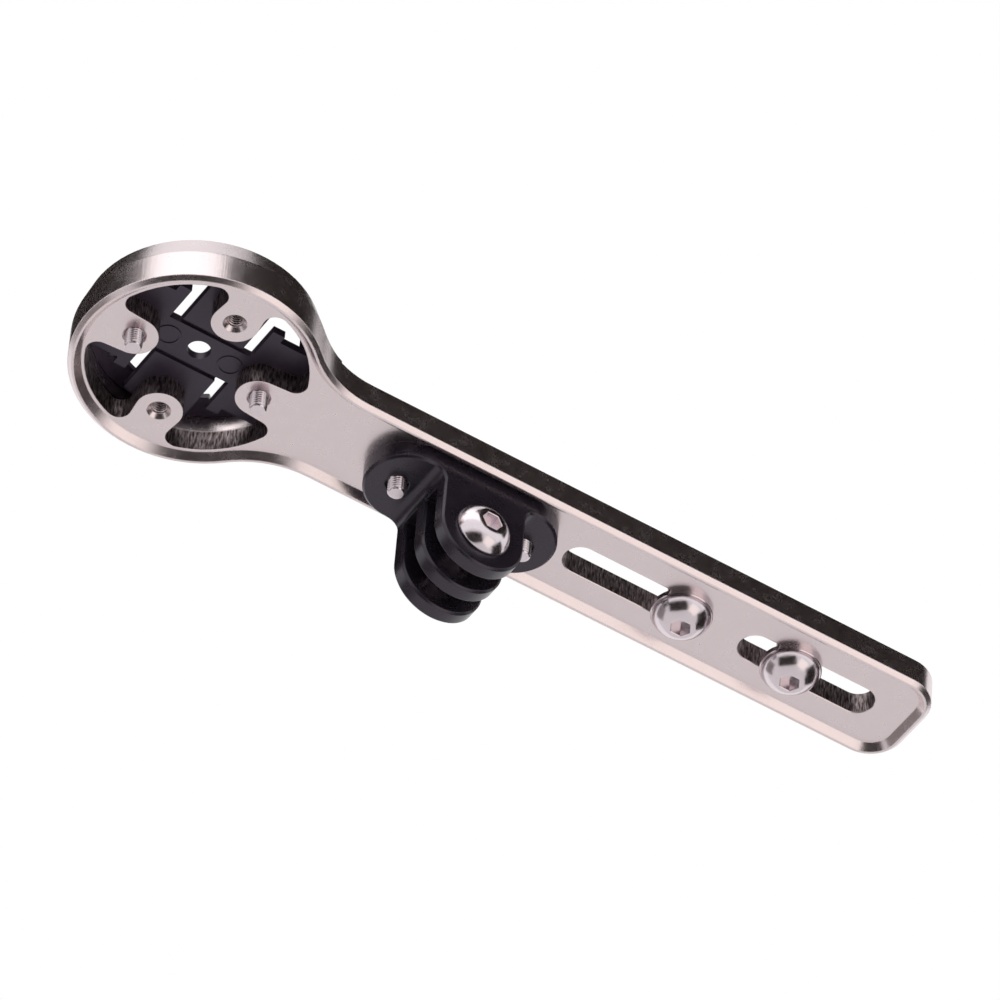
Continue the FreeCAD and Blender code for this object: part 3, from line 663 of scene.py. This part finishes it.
low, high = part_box("pivot_bolt")
near_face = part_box("camera_bracket")[0].y
centre = (low + high) / 2
make_screw("pivot_bolt_threaded", "pivot_bolt", "pivot",
           button_head((high.y - near_face) / MM, PIVOT_PLAIN),
           M5_PITCH, M5_DEPTH, HEAD_NEAR, (centre.x, near_face, centre.z))

# %% [markdown]
# The ring's two empty lobes are tapped. A boolean could cut the thread into the arm, but
# the arm's mesh stays as it is, so the thread is a thin closed sleeve inside the drilled
# wall: the same wave as on the screws, faded out at both ends.

# %% Threads in the two empty ring holes
HOLE_R = 1.24          # mm, as are all sizes of the holes
HOLE_SKIN = 0.005      # wall of the sleeve behind the thread
HOLE_DEPTH = 0.2
HOLE_ROOT = 0.2        # the part of the wave that is cut off as the thread's flat root
HOLE_FLANK = 0.6       # and the part that is its flank
HOLE_FADE = 0.6        # pitches over which the thread fades out
HOLE_TOP = 2.0         # from the mount's point up to the hole's end
SLEEVE_TOP = 1.95      # and up to the sleeve's, which stops just below it


def hole_thread(name, x, y, z0, z1):
    """Radius = the hole's, less the depth times the fade times the ridge. The ridge is
    the wave less the root, over the flank, and the fade is the distance to the nearer
    end over the fading length, both held between 0 and 1."""
    z = np.arange(z0, z1, M3_PITCH / ROWS_A_PITCH)[:, None]
    fade = np.clip(np.minimum(z - z0, z1 - z) / (HOLE_FADE * M3_PITCH), 0, 1)
    ridge = np.clip((thread_wave(z, M3_PITCH) - HOLE_ROOT) / HOLE_FLANK, 0, 1)
    wall = round_points(HOLE_R - HOLE_DEPTH * fade * ridge, z, x, y)
    back = round_points(HOLE_R + HOLE_SKIN, z[::-1], x, y)
    made = grid_mesh(name, np.concatenate([wall, back, wall[:1]]) * MM, aluminium)
    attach(made, "mount")
    print(name, len(made.data.polygons), "faces")


for name in ("ring_hole_near", "ring_hole_far"):
    x, y, z = (c / MM for c in mounts[name]["pos_m"])
    reach = mounts[name]["dims"]["length_mm"]
    hole_thread(name + "_thread", x, y, z + HOLE_TOP - reach, z + SLEEVE_TOP)

# %% [markdown]
# The room is a white studio. Its white could come from strong lamps on a backdrop, but
# then the arm would be too bright as well, so the world itself is white for the camera
# and for mirror rays and a little darker as a light.

# %% World
SKY_LIGHT = 0.86       # the world's strength as a light, where 1 is white

world = bpy.data.worlds.new("studio")
world.use_nodes = True
tree = world.node_tree
tree.nodes.clear()
ray = add(tree, "ShaderNodeLightPath")
seen = add(tree, "ShaderNodeMath", {"operation": "MAXIMUM"},
           {0: ray.outputs["Is Camera Ray"], 1: ray.outputs["Is Glossy Ray"]})
seen = add(tree, "ShaderNodeMath", {"operation": "MAXIMUM"},
           {0: seen.outputs[0], 1: ray.outputs["Is Transmission Ray"]})
white = add(tree, "ShaderNodeMapRange", None, {"Value": seen.outputs[0], "To Min": SKY_LIGHT})
glow = add(tree, "ShaderNodeBackground", None,
           {"Color": linear("#FFFFFF"), "Strength": white.outputs[0]})
add(tree, "ShaderNodeOutputWorld", None, {"Surface": glow.outputs[0]})
scene.world = world
print("world at", SKY_LIGHT, "as a light")

# %% [markdown]
# The floor is a sheet of pale matt paper. It lies well below the arm, because the camera
# looks up from under it, and it shows only in views from above. A floor right under the
# arm would be nearer to a real table, but it would hide the arm from this camera.

# %% Floor
FLOOR_Z = -2.4         # m
FLOOR_HALF = 9.0       # m, from its middle to each side
PAPER_CLOUD = 1000 / 3              # mm, faint patches in the paper


def flat_sheet(name, centre, side_a, side_b, material):
    """A quad whose corners are the centre plus or minus one side vector, plus or minus
    the other."""
    c, a, b = (np.array(v, float) for v in (centre, side_a, side_b))
    corners = np.array([c - a - b, c + a - b, c + a + b, c - a + b])
    mesh = bpy.data.meshes.new(name)
    mesh.from_pydata(corners.tolist(), [], [[0, 1, 2, 3]])
    mesh.materials.append(material)
    made = bpy.data.objects.new(name, mesh)
    scene.collection.objects.link(made)
    return made


paper, tree, shader, where = new_material("paper_pale_matt")
fibre = add(tree, "ShaderNodeTexNoise", None,
            {"Vector": where.outputs["Object"], "Scale": 1 / (PAPER_CLOUD * MM), "Detail": 3.0})
tint = add(tree, "ShaderNodeMix", {"data_type": "RGBA"},
           {"Factor": fibre.outputs[0], 6: linear("#F1EFEF"), 7: linear("#F5F3F3")})
set_inputs(tree, shader, {"Base Color": tint.outputs[2], "Roughness": 0.9})
flat_sheet("floor", (0, 0, FLOOR_Z), (FLOOR_HALF, 0, 0), (0, FLOOR_HALF, 0), paper)
print("floor at", FLOOR_Z)

# %% [markdown]
# Two soft boxes give the bright bands: a large one above and to the left, and a smaller,
# warmer one below and to the right. Each is given as the direction in which it stands,
# seen from the arm, so that it can be put where a face mirrors it: an azimuth round Z
# from +X, towards +Y, and an elevation above the XY plane, both in degrees. A lamp could
# be set by its power, but its radiance says how much brighter than the white room its
# reflection is.

# %% Soft boxes
def direction(azimuth, elevation):
    """The unit vector at an angle round Z from +X and an angle above the XY plane."""
    a, e = math.radians(azimuth), math.radians(elevation)
    return Vector((math.cos(a) * math.cos(e), math.sin(a) * math.cos(e), math.sin(e)))


def soft_box(name, azimuth, elevation, distance, width, height, radiance, colour):
    """An area lamp that faces the arm, its sizes in metres. Its power is its radiance
    times pi times its area."""
    lamp = bpy.data.lights.new(name, "AREA")
    lamp.shape = "RECTANGLE"
    lamp.size = width
    lamp.size_y = height
    lamp.energy = radiance * math.pi * width * height
    lamp.color = linear(colour)[:3]
    way = direction(azimuth, elevation)
    made = bpy.data.objects.new(name, lamp)
    facing_arm = way.to_track_quat("Z", "Y").to_matrix().to_4x4()
    made.matrix_world = Matrix.Translation(TARGET + way * distance) @ facing_arm
    made.visible_camera = False
    scene.collection.objects.link(made)
    print(name, "%.2f W" % lamp.energy)


soft_box("key_above_left", -139, 47, 0.75, 0.95, 0.62, 0.55, "#FFFDFA")
soft_box("fill_below_right", -62, -36, 0.8, 0.5, 0.5, 0.44, "#FFF0DC")

# %% [markdown]
# Polished metal shows only what stands round it, and in a white room it would look like
# plaster. So cards stand where the photograph's metal is dark, as a photographer sets
# them just outside the picture: five of brown felt, and one of grey cloth where the metal
# is only half dark. Darker paint on the metal could fake this, but only from one side.

# %% Cards of felt and cloth
NAP = 2.5              # mm, tufts of the cloth
CARDS = (              # azimuth, elevation, then distance, width and height in metres
    ("card_near_right", -56, 48, 0.62, 0.84, 0.74, "felt"),
    ("card_right_high", -4, 66, 0.62, 0.62, 0.34, "felt"),
    ("card_far_left", 137, 45, 0.62, 0.85, 0.5, "felt"),
    ("card_at_camera", -135, -42, 0.8, 1.05, 0.6, "felt"),
    ("card_low_right", -6, -20, 0.7, 0.72, 0.5, "felt"),
    ("card_behind_left", 141, -20, 0.8, 0.6, 0.45, "grey"),
)


def cloth(name, dark, light):
    """Matt cloth with a fine nap, so that its reflection is even."""
    made, tree, shader, where = new_material(name)
    nap = add(tree, "ShaderNodeTexNoise", None,
              {"Vector": where.outputs["Object"], "Scale": 1 / (NAP * MM)})
    tint = add(tree, "ShaderNodeMix", {"data_type": "RGBA"},
               {"Factor": nap.outputs[0], 6: linear(dark), 7: linear(light)})
    set_inputs(tree, shader,
               {"Base Color": tint.outputs[2], "Roughness": 1.0, "Specular IOR Level": 0.0})
    return made


CLOTHS = {
    "felt": cloth("felt_dark_brown", "#2A2422", "#2F2927"),
    "grey": cloth("cloth_grey", "#9A9393", "#A09999"),
}
for name, azimuth, elevation, distance, width, height, kind in CARDS:
    way = direction(azimuth, elevation)
    sideways = way.cross(UP).normalized()
    upwards = sideways.cross(way)
    card = flat_sheet(name, TARGET + way * distance, sideways * width / 2,
                      upwards * height / 2, CLOTHS[kind])
    card.visible_camera = False
print(len(CARDS), "cards set")
